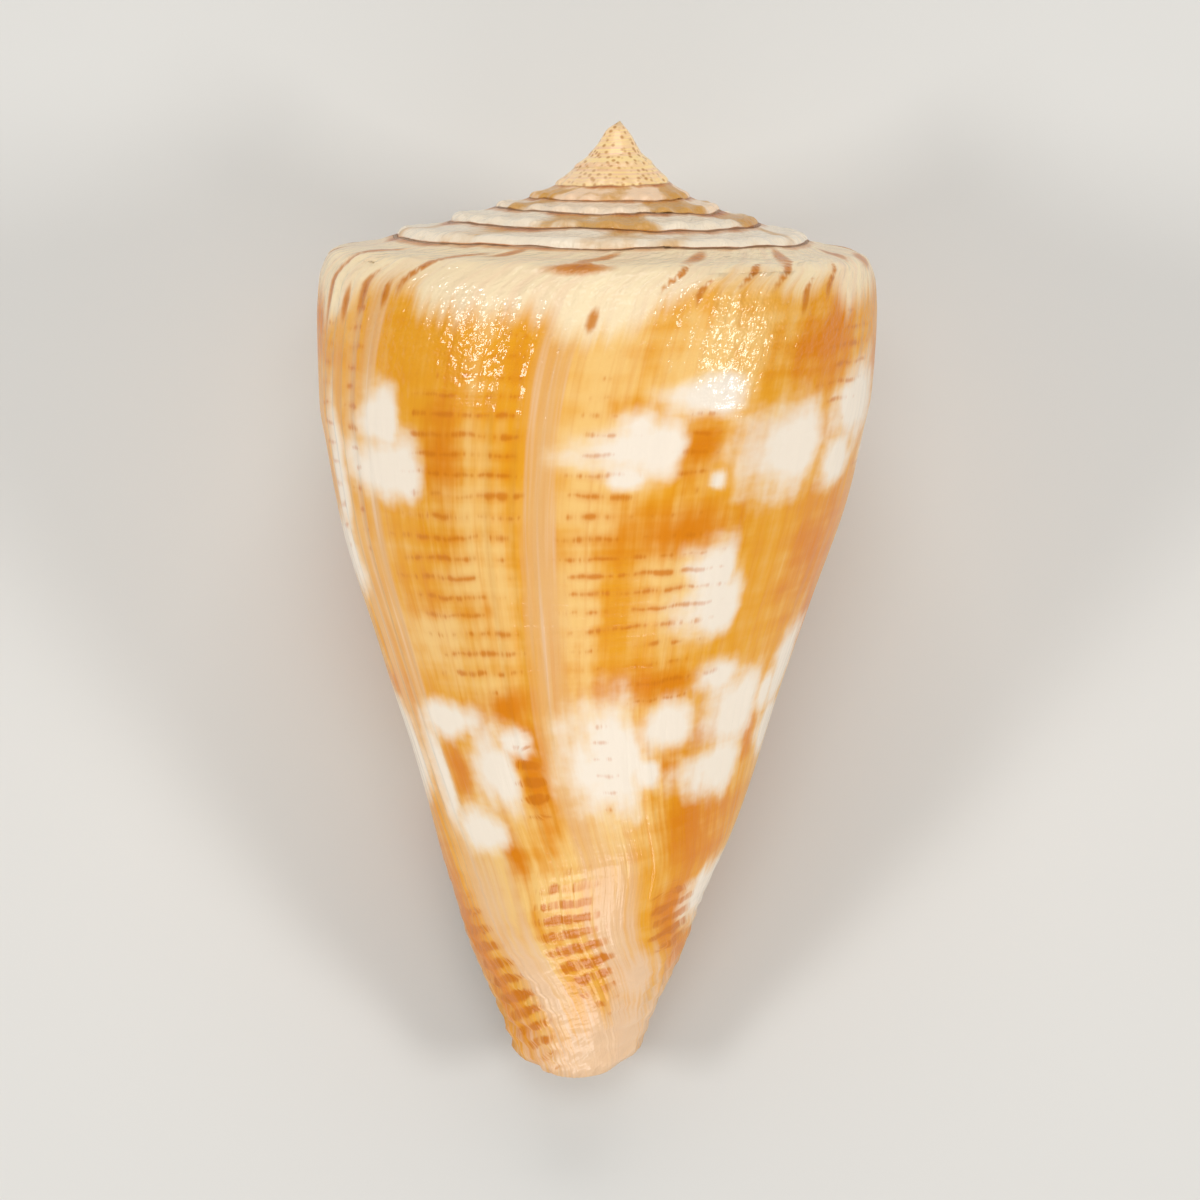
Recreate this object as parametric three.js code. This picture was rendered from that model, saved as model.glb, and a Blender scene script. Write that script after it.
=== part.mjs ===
// A cone shell, grown as one piece: a stepped spire with a pointed apex, a body
// whorl that tapers to the front end, and a long slit-like aperture that leads
// most of a turn into the shell, between its outer wall and the whorl before it.
//
// The shell is drawn the way it grows. A stage counts turns back from the lip: 0 is
// the lip, 1 is one whorl earlier, about 9 is the apex. Each stage is a column of
// points that starts at the suture, runs out over the ramp, round the shoulder and
// down the wall to the front end. Neighbouring surfaces share their edge points, so
// the whole shell closes without any boolean.
import * as THREE from "three";

const { lerp, smoothstep, degToRad } = THREE.MathUtils;

// Driving dimensions, in millimetres and turns. Heights are measured from the apex
// along the coiling axis, towards the front end.
const LENGTH = 45;
const STAGES = 9.25; // turns from the lip to the first whorl
const APEX_OFF = 0.12; // from the axis
const OUTLINE_TURN = 0.09; // the turn whose wall has the outline below
const SHOULDER_RADIUS = 13.1; // at that turn
const GROWTH = [0.268, 0.009]; // log of the size, per turn and per turn squared
const LIP_ANGLE = degToRad(-122.6); // from the middle of the back
const RISER_SHARE = 0.14; // drop of the next suture, as a share of the step to it
const RAMP_SAG = 0.06; // of the ramp's width
const ROOT = 0.9; // thickness of the ramp where it joins the whorl before
const LIP_EDGE = 0.5; // wall thickness at the lip
const WALL = 1.15; // and inside
const WALL_FULL_STAGE = 0.08; // where the wall reaches that thickness
const LEAST_GAP = 0.35; // of the cavity, before it closes
const COLUMELLA = 1.5; // radius of the pillar in the middle
const CAVITY_STAGES = 0.9;
const NOTCH_STAGES = 0.5; // how far the front edge stays open
const FRONT_EDGE_RISE = 1.4; // from the middle of the back to the side
const FRONT_SHIFT = 1.3; // of the front end's centre, to the lip's side
const FRONT_FROM = 33; // the front end's own shape takes over between these heights
const FRONT_FULL = 38.5;
const SPIRE_TILT = 0.02; // slope of the whorls across the axis
const TILT_FROM = 8; // it fades out between these heights
const TILT_NONE = 24;

// The shoulder's height for its radius.
const SPIRE = [
  [0, 0],
  [0.5, 0.42],
  [1.08, 1.36],
  [1.74, 1.93],
  [2.5, 2.72],
  [3.7, 3.38],
  [5, 3.78],
  [6.6, 4.25],
  [8.9, 4.84],
  [9.9, 5.12],
  [11.75, 5.67],
  [13.1, 6.18],
  [14.5, 6.7],
];
// The wall's radius for its depth below the shoulder, at the outline's turn.
const WALL_OUTLINE = [
  [0, 13.07],
  [0.7, 13.54],
  [1.64, 13.8],
  [3.5, 13.91],
  [7.3, 13.75],
  [9.1, 13.44],
  [12.9, 12.68],
  [18.5, 10.9],
  [24.1, 9.12],
  [29.8, 7.48],
  [35.4, 5.41],
  [56, -1.4],
];
// The front end's radius about its own centre, for the height.
const FRONT_OUTLINE = [
  [33, 7.3],
  [36.7, 5.95],
  [38.6, 5.35],
  [40.4, 4.62],
  [42.3, 3.78],
  [45, 2.9],
];
// Share of that radius by turn: the wall turns in and becomes the pillar.
const TURN_IN = [
  [0.62, 1],
  [0.85, 0.7],
  [1.08, 0.48],
  [1.35, 0.38],
  [2.35, 0.34],
];
// How far the growth lines run ahead of the shoulder, in turns, for the depth below.
const LEAD = [
  [0, 0],
  [5.6, 0.018],
  [12.5, 0.027],
  [20, 0.029],
  [25, 0.018],
  [30, -0.015],
  [35, -0.09],
  [38.6, -0.14],
];
// Height of the front edge by stage, from the end of the notch on.
const PILLAR_END = [
  [0.5, 43],
  [0.8, 43.6],
  [1.2, 43.6],
  [1.5, 42.6],
  [1.7, 37.5],
  [1.9, 32.5],
];

// Slope of the axis at rest on the lip and the underside: the spire's end is up.
const REST_PITCH = degToRad(15.7);

// Mesh rows of one stage, and columns in one turn.
const COLUMNS = 48;
const SHOULDER_ROW = 3;
const SUTURE_ROW = 4; // where the next whorl's ramp joins
const CAVITY_ROW = 6; // where the cavity starts below that ramp
const LAST_ROW = 22;
const CAVITY_COLUMNS = Math.round(CAVITY_STAGES * COLUMNS);
const NOTCH_COLUMNS = Math.round(NOTCH_STAGES * COLUMNS);
const SPIRE_COLUMNS = Math.round(STAGES * COLUMNS);

// Smooth curve through points given as [x, y], without overshoot between them.
function through(points, x) {
  const last = points.length - 1;
  if (x <= points[0][0]) return points[0][1];
  if (x >= points[last][0]) return points[last][1];
  const slope = (i) => (points[i + 1][1] - points[i][1]) / (points[i + 1][0] - points[i][0]);
  const tangent = (i) => {
    if (i === 0) return slope(0);
    if (i === last) return slope(last - 1);
    const [before, after] = [slope(i - 1), slope(i)];
    return before * after <= 0 ? 0 : (2 * before * after) / (before + after);
  };
  const i = points.findIndex((p) => p[0] > x) - 1;
  const width = points[i + 1][0] - points[i][0];
  const t = (x - points[i][0]) / width;
  const [t2, t3] = [t * t, t * t * t];
  return (
    (2 * t3 - 3 * t2 + 1) * points[i][1] +
    (t3 - 2 * t2 + t) * width * tangent(i) +
    (3 * t2 - 2 * t3) * points[i + 1][1] +
    (t3 - t2) * width * tangent(i + 1)
  );
}

// Size of the whorl at a turn, 1 at the outline's turn.
function sizeAt(turn) {
  const n = turn - OUTLINE_TURN;
  return Math.exp(-GROWTH[0] * n - GROWTH[1] * n * n);
}

const crestRadius = (turn) => SHOULDER_RADIUS * sizeAt(turn);
const crestHeight = (turn) => through(SPIRE, crestRadius(turn));
const sutureHeight = (turn) =>
  crestHeight(turn) + RISER_SHARE * (crestRadius(turn - 1) - crestRadius(turn));

// Radius of the wall at a turn and height.
function wallRadius(turn, height) {
  const size = sizeAt(turn);
  const depth = height - crestHeight(turn);
  const spiral = size * through(WALL_OUTLINE, depth / size);
  const wall = Math.max(spiral, COLUMELLA * smoothstep(depth, 2, 8));
  const front = through(FRONT_OUTLINE, height) * through(TURN_IN, turn);
  return lerp(wall, front, smoothstep(height, FRONT_FROM, FRONT_FULL));
}

// The turn of a stage's row: the growth lines lead or lag behind the shoulder.
function turnAt(stage, row) {
  const full = LEAD[LEAD.length - 1][0];
  return stage - through(LEAD, (full * (row - SUTURE_ROW)) / (LAST_ROW - SUTURE_ROW));
}

// Height of the front edge at a stage.
function frontHeight(stage) {
  if (stage > NOTCH_STAGES) return through(PILLAR_END, stage);
  const angle = LIP_ANGLE + 2 * Math.PI * turnAt(stage, LAST_ROW);
  return LENGTH - FRONT_EDGE_RISE * (1 - Math.cos(angle));
}

// Height of a row of the outer surface, from the shoulder down.
function rowHeight(turn, stage, row) {
  const suture = sutureHeight(turn);
  if (row <= SUTURE_ROW) {
    return lerp(crestHeight(turn), suture, (row - SHOULDER_ROW) / (SUTURE_ROW - SHOULDER_ROW));
  }
  const corner = suture + ROOT * sizeAt(turn);
  if (row <= CAVITY_ROW) {
    return lerp(suture, corner, (row - SUTURE_ROW) / (CAVITY_ROW - SUTURE_ROW));
  }
  return lerp(corner, frontHeight(stage), (row - CAVITY_ROW) / (LAST_ROW - CAVITY_ROW));
}

// A point in space. The axis is Z with the apex at the origin and the front end
// below it; the middle of the back faces +X.
function place(turn, radius, height) {
  const angle = LIP_ANGLE + 2 * Math.PI * turn;
  const side = radius * Math.sin(angle);
  const shift = FRONT_SHIFT * smoothstep(height, FRONT_FROM, FRONT_FULL);
  const tilt = SPIRE_TILT * side * (1 - smoothstep(height, TILT_FROM, TILT_NONE));
  return [radius * Math.cos(angle), side - shift, -height - tilt];
}

// The outer surface: the ramp from the suture to the shoulder, then the wall.
function outerPoint(stage, row) {
  const turn = turnAt(stage, row);
  if (row >= SHOULDER_ROW) {
    const height = rowHeight(turn, stage, row);
    return place(turn, wallRadius(turn, height), height);
  }
  const share = row / SHOULDER_ROW;
  const suture = sutureHeight(turn + 1);
  const start = wallRadius(turn + 1, suture);
  const width = crestRadius(turn) - start;
  const sag = RAMP_SAG * width * smoothstep(start, 1, 4) * 4 * share * (1 - share);
  return place(turn, start + share * width, lerp(suture, crestHeight(turn), share) + sag);
}

// The inside of the outer wall, from the shoulder to the front.
function innerWallPoint(stage, row) {
  const turn = turnAt(stage, row);
  const wall = lerp(LIP_EDGE, WALL, smoothstep(stage, 0, WALL_FULL_STAGE));
  const crest = crestHeight(turn);
  const depth = (rowHeight(turn, stage, row) - crest) / (frontHeight(stage) - crest);
  const end = stage < NOTCH_STAGES ? frontHeight(stage) : frontHeight(stage + 1);
  const height = lerp(crest + wall, end, depth);
  const pillar = wallRadius(turn + 1, height);
  const free = Math.max(wallRadius(turn, height) - wall, pillar + LEAST_GAP);
  const closing = smoothstep(stage, 0.3, NOTCH_STAGES) * smoothstep(row, LAST_ROW - 3, LAST_ROW);
  return place(turn, lerp(free, pillar, closing), height);
}

// The same with the underside of the ramp, straight from the cavity's inner corner.
function innerPoint(stage, row, corner) {
  if (row >= SHOULDER_ROW) return innerWallPoint(stage, row);
  const shoulder = innerWallPoint(stage, SHOULDER_ROW);
  return corner.map((c, i) => lerp(c, shoulder[i], row / SHOULDER_ROW));
}

// Collects numbered points and faces.
class Surface {
  points = [];
  faces = [];
  add(point) {
    this.points.push(...point);
    return this.points.length / 3 - 1;
  }
  at(index) {
    return this.points.slice(3 * index, 3 * index + 3);
  }
  face(...corners) {
    for (let i = 1; i + 1 < corners.length; i++) {
      this.faces.push(corners[0], corners[i], corners[i + 1]);
    }
  }
  // Faces between two rows of points of the same length. Points they share fold up.
  strip(left, right) {
    for (let i = 0; i + 1 < left.length; i++) {
      const corners = [left[i], left[i + 1], right[i + 1], right[i]];
      this.face(...corners.filter((c, k) => c !== corners[(k + 3) % 4]));
    }
  }
  grid(columns) {
    for (let j = 0; j + 1 < columns.length; j++) this.strip(columns[j], columns[j + 1]);
  }
  // Faces from a centre to a loop of points.
  fan(centre, loop) {
    const middle = this.add(centre);
    loop.forEach((point, i) => this.face(middle, point, loop[(i + 1) % loop.length]));
  }
}

const range = (from, to) => Array.from({ length: to - from + 1 }, (_, i) => from + i);

function buildShell() {
  const surface = new Surface();
  const column = (stage, from, to) =>
    range(from, to).map((row) => surface.add(outerPoint(stage, row)));

  // Outer surface of the body whorl, one turn from the lip to where the lip joins it.
  const before = column(1, 0, LAST_ROW);
  const suture = before[SUTURE_ROW];
  const outer = [[suture, ...column(0, 1, LAST_ROW)]];
  for (let j = 1; j < COLUMNS; j++) outer.push(column(j / COLUMNS, 0, LAST_ROW));
  outer.push(before);

  // It goes on into the aperture as the cavity's inner side.
  const pillar = [before.slice(CAVITY_ROW)];
  for (let j = 1; j <= CAVITY_COLUMNS; j++) {
    pillar.push(column(1 + j / COLUMNS, CAVITY_ROW, LAST_ROW));
  }

  // The cavity's outer side: the inside of the body whorl's wall.
  const inner = pillar.map((side, j) =>
    range(0, LAST_ROW).map((row) => {
      if (row === 0) return side[0];
      if (row === LAST_ROW && j >= NOTCH_COLUMNS) return side[side.length - 1];
      return surface.add(innerPoint(j / COLUMNS, row, surface.at(side[0])));
    }),
  );

  // The earlier whorls show their ramp and riser, down to the next whorl's suture.
  const spire = [before.slice(0, SUTURE_ROW + 1)];
  for (let j = 1; COLUMNS + j <= SPIRE_COLUMNS; j++) {
    const below = j <= COLUMNS ? outer[j][0] : spire[j - COLUMNS][0];
    spire.push([...column(1 + j / COLUMNS, 0, SUTURE_ROW - 1), below]);
  }

  surface.grid(outer);
  surface.grid(pillar);
  surface.grid([...inner].reverse());
  surface.grid(spire);

  // The lip's edge, with the root that joins it to the whorl before.
  surface.strip(inner[0].slice(1), outer[0].slice(1));
  surface.face(...before.slice(SUTURE_ROW, CAVITY_ROW + 1), inner[0][1], outer[0][1]);

  // The front edge of the wall round the notch, then the pillar's end.
  const last = (columns, from, to) => range(from, to).map((j) => columns[j].at(-1));
  surface.strip(last(inner, 0, NOTCH_COLUMNS), last(outer, 0, NOTCH_COLUMNS));
  const end = [...last(outer, NOTCH_COLUMNS, COLUMNS), ...last(pillar, 1, NOTCH_COLUMNS)];
  surface.fan([0, -FRONT_SHIFT, -through(PILLAR_END, 1) - 0.2], end.reverse());

  // The blind end of the cavity.
  const side = pillar[CAVITY_COLUMNS];
  const wall = inner[CAVITY_COLUMNS];
  const corner = wall.slice(0, CAVITY_ROW + 1).reverse();
  const middle = [0, CAVITY_ROW, SHOULDER_ROW].map((row) => surface.at(wall[row]));
  surface.fan([0, 1, 2].map((i) => (middle[0][i] + middle[1][i] + middle[2][i]) / 3), corner);
  surface.strip(side, wall.slice(CAVITY_ROW));

  // The apex, a little off the axis, where it faces the last step.
  const top = range(SPIRE_COLUMNS - 2 * COLUMNS, SPIRE_COLUMNS - COLUMNS).map((j) => spire[j][0]);
  const step = spire.at(-1).slice(1, SUTURE_ROW);
  const facing = LIP_ANGLE + 2 * Math.PI * (STAGES + 0.25);
  surface.fan([APEX_OFF * Math.cos(facing), APEX_OFF * Math.sin(facing), 0], [...top, ...step]);
  return surface;
}

// Turns the shell from its own axis to its attitude at rest: the apex towards +Y
// and the back up, then down onto the ground with its middle over the origin.
function layDown(geometry) {
  const axes = new THREE.Matrix4().set(0, 1, 0, 0, 0, 0, 1, 0, 1, 0, 0, 0, 0, 0, 0, 1);
  const pitch = new THREE.Matrix4().makeRotationX(REST_PITCH);
  geometry.applyMatrix4(pitch.multiply(axes));
  geometry.computeBoundingBox();
  const { min, max } = geometry.boundingBox;
  geometry.translate(-(min.x + max.x) / 2, -(min.y + max.y) / 2, -min.z);
}

const shell = buildShell();
const geometry = new THREE.BufferGeometry();
geometry.setAttribute("position", new THREE.Float32BufferAttribute(shell.points, 3));
geometry.setIndex(shell.faces);
layDown(geometry);
geometry.computeVertexNormals();

const mesh = new THREE.Mesh(
  geometry,
  new THREE.MeshStandardMaterial({ color: 0xe9cfa4, roughness: 0.25, metalness: 0 }),
);
mesh.name = "cone_shell";
const group = new THREE.Group();
group.name = "cone_shell_part";
group.add(mesh);

export default group;
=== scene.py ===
import math

import bpy
import numpy as np
from mathutils import Matrix, Vector


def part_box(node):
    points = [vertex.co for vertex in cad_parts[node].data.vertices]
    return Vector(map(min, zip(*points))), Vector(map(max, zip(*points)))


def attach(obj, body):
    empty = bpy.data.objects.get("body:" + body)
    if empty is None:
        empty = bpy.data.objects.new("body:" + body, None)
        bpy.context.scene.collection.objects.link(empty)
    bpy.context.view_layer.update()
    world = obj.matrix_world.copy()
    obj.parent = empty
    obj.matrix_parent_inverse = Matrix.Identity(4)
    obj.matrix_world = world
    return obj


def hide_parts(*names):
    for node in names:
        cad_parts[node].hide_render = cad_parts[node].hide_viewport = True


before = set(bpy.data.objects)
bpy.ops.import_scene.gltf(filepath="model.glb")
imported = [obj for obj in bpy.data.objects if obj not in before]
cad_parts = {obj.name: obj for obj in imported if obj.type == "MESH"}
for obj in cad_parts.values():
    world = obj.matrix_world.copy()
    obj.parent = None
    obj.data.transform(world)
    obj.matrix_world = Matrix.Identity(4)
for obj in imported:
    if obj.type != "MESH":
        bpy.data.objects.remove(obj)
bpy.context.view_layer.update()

# A cone shell lying on its underside, the tip of the spire away from the viewer.
# It repeats the CAD part's formulas with finer rows, adds the relief of the growth
# lines and cords, and paints the markings in the shell's own coordinates: along the
# growth spiral and down from the shoulder.

MM = 0.001

# Sizes in millimetres, places in turns back from the lip, as in the CAD part.
# Heights run from the tip of the spire along the coiling axis.
LENGTH = 45
STAGES = 9.25
APEX_OFF = 0.12
OUTLINE_TURN = 0.09
SHOULDER_RADIUS = 13.1
GROWTH = (0.268, 0.009)
LIP_DEGREES = -122.6
LIP_ANGLE = math.radians(LIP_DEGREES)
RISER_SHARE = 0.14
RAMP_SAG = 0.06
ROOT = 0.9
LIP_EDGE = 0.5
WALL = 1.15
WALL_FULL_STAGE = 0.08
LEAST_GAP = 0.35
COLUMELLA = 1.5
CAVITY_STAGES = 0.9
NOTCH_STAGES = 0.5
FRONT_EDGE_RISE = 1.4
FRONT_SHIFT = 1.3
FRONT_FROM, FRONT_FULL = 33, 38.5
SPIRE_TILT = 0.02
TILT_FROM, TILT_NONE = 8, 24
REST_PITCH = math.radians(15.7)
SPIRE = (
    (0, 0), (0.5, 0.42), (1.08, 1.36), (1.74, 1.93), (2.5, 2.72), (3.7, 3.38), (5, 3.78),
    (6.6, 4.25), (8.9, 4.84), (9.9, 5.12), (11.75, 5.67), (13.1, 6.18), (14.5, 6.7),
)
WALL_OUTLINE = (
    (0, 13.07), (0.7, 13.54), (1.64, 13.8), (3.5, 13.91), (7.3, 13.75), (9.1, 13.44),
    (12.9, 12.68), (18.5, 10.9), (24.1, 9.12), (29.8, 7.48), (35.4, 5.41), (56, -1.4),
)
FRONT_OUTLINE = ((33, 7.3), (36.7, 5.95), (38.6, 5.35), (40.4, 4.62), (42.3, 3.78), (45, 2.9))
TURN_IN = ((0.62, 1), (0.85, 0.7), (1.08, 0.48), (1.35, 0.38), (2.35, 0.34))
LEAD = (
    (0, 0), (5.6, 0.018), (12.5, 0.027), (20, 0.029), (25, 0.018), (30, -0.015),
    (35, -0.09), (38.6, -0.14),
)
PILLAR_END = ((0.5, 43), (0.8, 43.6), (1.2, 43.6), (1.5, 42.6), (1.7, 37.5), (1.9, 32.5))

# Mesh rows of a stage: over the ramp, round the shoulder, down the riser to the next
# whorl's suture, to the cavity's corner, and down the wall to the front.
RAMP_ROWS = 8
CREST_ROW = RAMP_ROWS + 7
SUTURE_ROW = CREST_ROW + 3
CAVITY_ROW = SUTURE_ROW + 3
LAST_ROW = CAVITY_ROW + 92
ROUNDING = 0.8  # share of the riser that the rounded shoulder takes
RAMP_ROUNDING = (0.5, 0.25)  # share of the ramp that it takes, on the last whorl and before
BODY_COLUMNS = 420  # in the last turn
SPIRE_COLUMNS = ((1, 2.5, 360), (2.5, 4.5, 240), (4.5, 7, 130), (7, 8.25, 72), (8.25, 9.25, 72))
INNER_COLUMNS = 90
BACK_LENGTH = 75 / 360  # millimetres along the spiral for each degree
HIDDEN_SIDE = (88, 272)  # degrees back from the middle of the back


# Curves and random courses

def through(points, x):
    """Smooth curve through points, without overshoot between them."""
    xs, ys = np.array(points, float).T
    slope = np.diff(ys) / np.diff(xs)
    product = slope[:-1] * slope[1:]
    total = np.where(product > 0, slope[:-1] + slope[1:], 1)
    inner = np.where(product > 0, 2 * product / total, 0)
    tangent = np.concatenate([slope[:1], inner, slope[-1:]])
    x = np.clip(np.asarray(x, float), xs[0], xs[-1])
    i = np.clip(np.searchsorted(xs, x, side="right") - 1, 0, len(xs) - 2)
    width = xs[i + 1] - xs[i]
    t = (x - xs[i]) / width
    t2, t3 = t * t, t * t * t
    return (
        (2 * t3 - 3 * t2 + 1) * ys[i]
        + (t3 - 2 * t2 + t) * width * tangent[i]
        + (3 * t2 - 2 * t3) * ys[i + 1]
        + (t3 - t2) * width * tangent[i + 1]
    )


def lerp(a, b, t):
    return a + (b - a) * t


def smoothstep(x, low, high):
    t = np.clip((np.asarray(x, float) - low) / (high - low), 0, 1)
    return t * t * (3 - 2 * t)


def wander(x, seed):
    """Smooth random course between -1 and 1, changing about once per unit of x."""
    knots = np.random.default_rng(seed).uniform(-1, 1, 4096)
    x = np.asarray(x, float) + 1024
    i = np.floor(x).astype(int)
    return lerp(knots[i % 4096], knots[(i + 1) % 4096], smoothstep(x - i, 0, 1))


def bump(x, middle, half):
    return np.exp(-(((x - middle) / half) ** 2))


# The shell's smooth form

def size_at(turn):
    n = turn - OUTLINE_TURN
    return np.exp(-GROWTH[0] * n - GROWTH[1] * n * n)


def crest_radius(turn):
    return SHOULDER_RADIUS * size_at(turn)


def crest_height(turn):
    return through(SPIRE, crest_radius(turn))


def riser_drop(turn):
    return RISER_SHARE * (crest_radius(turn - 1) - crest_radius(turn))


def suture_height(turn):
    ripple = 0.22 * riser_drop(turn) * (wander(turn * 16, 11) + 0.6 * wander(turn * 50, 12))
    return crest_height(turn) + riser_drop(turn) + ripple


def wall_radius(turn, height):
    size = size_at(turn)
    depth = height - crest_height(turn)
    spiral = size * through(WALL_OUTLINE, depth / size)
    wall = np.maximum(spiral, COLUMELLA * smoothstep(depth, 2, 8))
    front = through(FRONT_OUTLINE, height) * through(TURN_IN, turn)
    return lerp(wall, front, smoothstep(height, FRONT_FROM, FRONT_FULL))


def turn_at(stage, row):
    """The spiral's turn at a stage's row: growth lines lead or lag behind the shoulder."""
    depth = LEAD[-1][0] * (row - SUTURE_ROW) / (LAST_ROW - SUTURE_ROW)
    return stage - through(LEAD, depth)


def front_height(stage):
    angle = LIP_ANGLE + 2 * np.pi * turn_at(stage, LAST_ROW)
    edge = LENGTH - FRONT_EDGE_RISE * (1 - np.cos(angle))
    return np.where(stage > NOTCH_STAGES, through(PILLAR_END, stage), edge)


def place(turn, radius, height):
    """A point in space: the axis is Z, the tip at the origin, the back towards +X."""
    angle = LIP_ANGLE + 2 * np.pi * turn
    side = radius * np.sin(angle)
    shift = FRONT_SHIFT * smoothstep(height, FRONT_FROM, FRONT_FULL)
    tilt = SPIRE_TILT * side * (1 - smoothstep(height, TILT_FROM, TILT_NONE))
    return np.stack([radius * np.cos(angle), side - shift, -height - tilt], -1)


def profile(stage, row):
    """Turn, radius and height of the outer surface."""
    turn = turn_at(stage, row)
    crest = crest_radius(turn), crest_height(turn)
    drop = riser_drop(turn)
    rounded = ROUNDING * drop

    suture = suture_height(turn + 1)
    start = wall_radius(turn + 1, suture)
    width = np.maximum(crest[0] - start, rounded)
    share = np.clip(row / RAMP_ROWS, 0, 1) * (1 - lerp(*RAMP_ROUNDING, smoothstep(turn, 0.7, 1)))
    sag = RAMP_SAG * width * smoothstep(start, 1, 4) * 4 * share * (1 - share)
    ramp = start + share * width, lerp(suture, crest[1], share) + sag

    edge = wall_radius(turn, crest[1] + rounded), crest[1] + rounded
    t = np.clip((row - RAMP_ROWS) / (CREST_ROW - RAMP_ROWS), 0, 1)
    arc = [(1 - t) ** 2 * a + 2 * t * (1 - t) * b + t * t * c for a, b, c in zip(ramp, crest, edge)]

    own_suture = suture_height(turn)
    corner = own_suture + ROOT * size_at(turn)
    riser = lerp(edge[1], own_suture, (row - CREST_ROW) / (SUTURE_ROW - CREST_ROW))
    root = lerp(own_suture, corner, (row - SUTURE_ROW) / (CAVITY_ROW - SUTURE_ROW))
    wall = lerp(corner, front_height(stage), (row - CAVITY_ROW) / (LAST_ROW - CAVITY_ROW))
    height = np.where(row < SUTURE_ROW, riser, np.where(row < CAVITY_ROW, root, wall))
    below = row > CREST_ROW
    radius = np.where(below, wall_radius(turn, height), arc[0])
    return turn, radius, np.where(below, height, arc[1])


def inner_profile(stage, row):
    """Turn, radius and height of the inside of the outer wall, from the shoulder down."""
    turn, _, height = profile(stage, row)
    wall = lerp(LIP_EDGE, WALL, smoothstep(stage, 0, WALL_FULL_STAGE))
    crest = crest_height(turn)
    share = (height - crest) / (front_height(stage) - crest)
    end = np.where(stage < NOTCH_STAGES, front_height(stage), front_height(stage + 1))
    height = lerp(crest + wall, end, share)
    pillar = wall_radius(turn + 1, height)
    free = np.maximum(wall_radius(turn, height) - wall, pillar + LEAST_GAP)
    closing = smoothstep(stage, 0.3, NOTCH_STAGES) * smoothstep(row, LAST_ROW - 17, LAST_ROW)
    return turn, lerp(free, pillar, closing), height


# The shell's own coordinates, for the relief and the markings

# Degrees that the growth lines sweep back at the shoulder, and for each millimetre of ramp.
SHOULDER_SWEEP = 6
RAMP_SWEEP = 3


def coordinates(stage, row, turn, radius, height):
    """Degrees back from the middle of the back, and depth below the shoulder for the size.

    The depth is below zero on the ramp, where the growth lines sweep back.
    """
    inward = np.maximum(crest_radius(turn) - radius, 0) * (row < CREST_ROW)
    down = (height - crest_height(turn) - inward) / size_at(turn)
    sweep = SHOULDER_SWEEP * smoothstep(-down, -1.4, 0.4) + RAMP_SWEEP * np.maximum(-down, 0)
    return LIP_DEGREES + 360 * stage - sweep * smoothstep(-stage, -1.3, -1), down


# Growth pauses: degrees back from the middle of the back, half width, height of the step.
PAUSES = (
    (-67, 1, 0.04), (-62, 1.2, 0.08), (-57.5, 0.9, 0.07), (-51, 1.8, 0.10), (-47, 0.9, 0.06),
    (-16, 0.8, 0.06), (-10.5, 0.8, 0.07), (-8, 0.7, 0.05), (-5.6, 0.7, 0.05), (21, 1, 0.04),
)
# Growth lines and undulations: width along the spiral, height, seed of the random course.
FINE_LINES = ((0.35, 0.010, 1), (0.9, 0.016, 2))
UNDULATION = (6, 0.045, 3)
SWELL_HEIGHT = 0.06
# Spiral cords at the front.
CORD_SPACING = 0.85
CORD_HEIGHT = 0.10
CORDS_FROM, CORDS_FULL = 33, 41
# Beads along the edges of the spire's whorls.
BEADS_A_TURN = 24
BEAD_HEIGHTS = (0.003, 0.018)  # share of the radius, on the last whorl and before


def growth_lines(back, down):
    """Growth lines, the steps of the growth pauses and a low swell."""
    spiral = back * BACK_LENGTH + 0.3 * wander(down / 3, 9)
    high = lerp(1, 2.2, smoothstep(-down, -5, -1))
    lines = high * sum(rise * wander(spiral / width, seed) for width, rise, seed in FINE_LINES)
    width, rise, seed = UNDULATION
    lines = lines + rise * wander(spiral / width, seed)
    for at, half, step in PAUSES:
        lines = lines + step * bump(back, at, half) - 0.6 * step * bump(back, at - 2 * half, half)
    return lines + SWELL_HEIGHT * wander(spiral / 7 + down / 9, 4) * wander(down / 5, 5)


def front_cords(stage, back, height):
    waver = 0.4 * wander(height / 1.6, 6) + 0.12 * wander(back / 9, 41)
    cord = np.cos(2 * np.pi * (height + waver) / CORD_SPACING)
    uneven = 0.9 + 0.5 * wander(height / 1.1 + back / 30, 7)
    strength = smoothstep(height, CORDS_FROM, CORDS_FULL) * uneven
    return CORD_HEIGHT * strength * (cord - 0.7 * np.abs(cord)) * smoothstep(-stage, -1.2, -0.9)


def edge_beads(stage, row, radius):
    beads = np.cos(2 * np.pi * BEADS_A_TURN * stage + 2 * wander(stage * 9, 8))
    beads = beads * bump(row, CREST_ROW - 3, 5) * radius * smoothstep(radius, 0.6, 1.5)
    return beads * lerp(*BEAD_HEIGHTS, smoothstep(stage, 1, 3.5))


def relief(stage, row, turn, radius, height):
    """How far the outer surface stands out from its smooth form."""
    back, down = coordinates(stage, row, turn, radius, height)
    wall = smoothstep(row, RAMP_ROWS, CREST_ROW)
    lines = growth_lines(back, down) * lerp(0.4, 1, wall) * radius / SHOULDER_RADIUS
    return lines + front_cords(stage, back, height) + edge_beads(stage, row, radius)


def raised(points, rise):
    """Moves a grid of points out along its own normals."""
    across = np.gradient(points, axis=1)
    along = np.gradient(points, axis=0)
    normal = np.cross(across, along)
    normal /= np.maximum(np.linalg.norm(normal, axis=-1, keepdims=True), 1e-9)
    return points + normal * rise[..., None]


# Markings

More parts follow.
